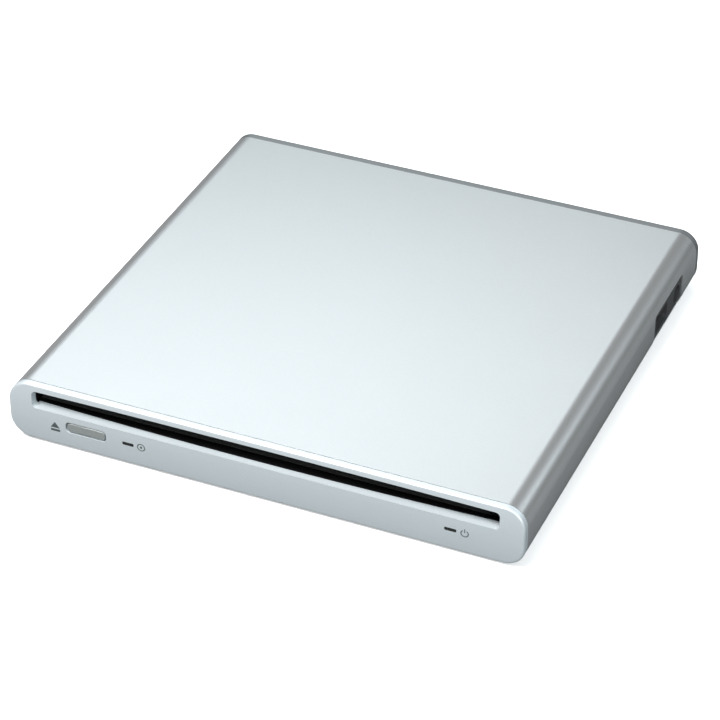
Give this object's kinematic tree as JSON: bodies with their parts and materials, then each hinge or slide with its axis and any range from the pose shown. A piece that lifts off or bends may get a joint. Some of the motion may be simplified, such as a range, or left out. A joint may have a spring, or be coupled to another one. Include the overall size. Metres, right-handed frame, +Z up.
{
  "type": "slot-loading optical disc rewriter drive",
  "caption": "Slim free-standing disc rewriter drive: silver shell, full-width disc slot, eject button, side sockets and a working loading, lifting and pickup mechanism inside.",
  "frame": {"origin": "centre of the footprint, on the surface that the rubber feet stand on", "axes": "+X to the right along the front, +Y to the back, +Z up; the disc slot faces -Y"},
  "size_m": [0.14, 0.137, 0.0176],
  "materials": {
    "silver_paint": "fine satin silver paint over aluminium",
    "silver_plastic": "satin silver paint on the moulded bezel",
    "cap_grey": "satin grey end cap",
    "base_paint": "satin grey bottom cover",
    "button_grey": "satin metallic grey",
    "charcoal": "matte moulded plastic",
    "black_plastic": "matte moulded plastic",
    "smoke_lens": "dark translucent light pipe",
    "felt": "black felt",
    "rubber": "matte rubber",
    "steel": "zinc-plated sheet",
    "screw_steel": "nickel-plated",
    "chrome": "ground and polished rod",
    "aluminium": "machined",
    "brass": "turned",
    "copper_core": "laminated core with enamelled windings",
    "pcb": "solder-masked board",
    "chip_black": "moulded package",
    "white_plastic": "acetal",
    "grey_plastic": "glass-filled moulding",
    "capacitor": "sleeved can",
    "cable": "flat laminated cable",
    "led": "moulded light",
    "lens": "coated objective lens"
  },
  "bodies": {
    "case": {"top_cover": "silver_paint", "bottom_cover": "base_paint", "front_bezel": "silver_plastic", "rear_end_cap": "cap_grey", "port_panel": "charcoal", "eject_switch": "chip_black", "light_pipes": "smoke_lens", "slot_liner": "black_plastic", "slot_felts": "felt", "rubber_feet": "rubber", "case_screws": "screw_steel", "chassis_grommets": "rubber", "chassis_screws": "screw_steel", "chassis": "steel", "retaining_clips": "screw_steel", "disc_deck": "black_plastic", "chassis_lid": "steel", "standoffs": "screw_steel", "front_board": "pcb", "front_lights": "led", "main_board": "pcb", "port_board": "pcb", "board_screws": "screw_steel", "controller_chip": "chip_black", "driver_chips": "chip_black", "board_capacitors": "capacitor", "board_connectors": "white_plastic", "usb_socket": "steel", "dc_jack": "black_plastic", "board_ribbon": "cable", "pickup_flex": "cable", "front_cable": "cable", "traverse_dampers": "rubber", "loading_motor": "steel"},
    "eject_button": {"eject_button": "button_grey"},
    "switch_plunger": {"eject_switch_plunger": "white_plastic"},
    "traverse": {"traverse_base": "grey_plastic", "guide_rods": "chrome", "sled_motor": "steel", "spindle_stator": "copper_core"},
    "spindle": {"spindle_rotor": "aluminium", "turntable": "aluminium", "turntable_pad": "rubber", "chucking_balls": "chrome"},
    "pickup": {"pickup_body": "aluminium", "pickup_cover": "steel", "laser_diode": "brass", "lead_nut": "white_plastic"},
    "lens": {"lens_holder": "black_plastic", "objective_lens": "lens"},
    "lead_screw": {"lead_screw": "brass"},
    "cam": {"cam_slide": "white_plastic", "sync_bar": "steel"},
    "gear_a": {"gear_a": "white_plastic"},
    "gear_b": {"gear_b": "white_plastic"},
    "motor_rotor": {"motor_pinion": "brass"},
    "left_lever": {"left_guide_lever": "steel"},
    "right_lever": {"right_guide_lever": "steel"},
    "left_roller": {"left_guide_roller": "white_plastic"},
    "right_roller": {"right_guide_roller": "white_plastic"}
  },
  "joints": [
    {"name": "eject_button_press", "type": "slide", "parent": "case", "child": "eject_button", "axis": [0, 1, 0], "range_m": [0, 0.0005], "stiffness_N_per_m": 400, "springref_m": -0.002},
    {"name": "eject_plunger_press", "type": "slide", "parent": "case", "child": "switch_plunger", "axis": [0, 1, 0], "range_m": [0, 0.00051]},
    {"name": "cam_travel", "type": "slide", "parent": "case", "child": "cam", "axis": [0, 1, 0], "range_m": [0, 0.016]},
    {"name": "gear_b_spin", "type": "hinge", "parent": "case", "child": "gear_b", "pos_m": [0.031, -0.032, 0.007], "axis": [0, 0, 1], "range_deg": [-1, 306.6]},
    {"name": "gear_a_spin", "type": "hinge", "parent": "case", "child": "gear_a", "pos_m": [0.0205, -0.0367, 0.0078], "axis": [0, 0, 1], "range_deg": [-1101.1, 1]},
    {"name": "motor_spin", "type": "hinge", "parent": "case", "child": "motor_rotor", "pos_m": [0.0135, -0.0431, 0.008], "axis": [0, 0, 1], "range_deg": [-1, 3081.2]},
    {"name": "traverse_lift", "type": "hinge", "parent": "case", "child": "traverse", "pos_m": [0, 0.0615, 0.0051], "axis": [-1, 0, 0], "range_deg": [0, 2.61]},
    {"name": "right_lever_swing", "type": "hinge", "parent": "case", "child": "right_lever", "pos_m": [0.056, -0.026, 0.01], "axis": [0, 0, -1], "range_deg": [0, 50.1]},
    {"name": "left_lever_swing", "type": "hinge", "parent": "case", "child": "left_lever", "pos_m": [-0.056, -0.026, 0.01], "axis": [0, 0, 1], "range_deg": [0, 50.1]},
    {"name": "right_roller_spin", "type": "hinge", "parent": "right_lever", "child": "right_roller", "pos_m": [0.0621, -0.04714, 0.013], "axis": [0, 0, 1], "continuous": true},
    {"name": "left_roller_spin", "type": "hinge", "parent": "left_lever", "child": "left_roller", "pos_m": [-0.0621, -0.04714, 0.013], "axis": [0, 0, 1], "continuous": true},
    {"name": "spindle_spin", "type": "hinge", "parent": "traverse", "child": "spindle", "pos_m": [0, 0, 0.009], "axis": [0, 0, 1], "continuous": true},
    {"name": "pickup_travel", "type": "slide", "parent": "traverse", "child": "pickup", "axis": [0, 1, 0], "range_m": [0, 0.034]},
    {"name": "lead_screw_turn", "type": "hinge", "parent": "traverse", "child": "lead_screw", "pos_m": [0.0235, 0.03, 0.0069], "axis": [0, 1, 0], "range_deg": [-1, 4081]},
    {"name": "lens_focus", "type": "slide", "parent": "pickup", "child": "lens", "axis": [0, 0, 1], "range_m": [-0.0003, 0.0003], "stiffness_N_per_m": 120}
  ],
  "couplings": [
    {"joint": "eject_plunger_press", "follows": "eject_button_press", "ratio": 1},
    {"joint": "gear_b_spin", "follows": "cam_travel", "rad_per_m": 333.33},
    {"joint": "gear_a_spin", "follows": "cam_travel", "rad_per_m": -1200},
    {"joint": "motor_spin", "follows": "cam_travel", "rad_per_m": 3360},
    {"joint": "traverse_lift", "follows": "cam_travel", "rad_per_m": 2.8362},
    {"joint": "right_lever_swing", "follows": "cam_travel", "rad_per_m": 54.542},
    {"joint": "left_lever_swing", "follows": "cam_travel", "rad_per_m": 54.542},
    {"joint": "lead_screw_turn", "follows": "pickup_travel", "rad_per_m": 2094.4}
  ]
}
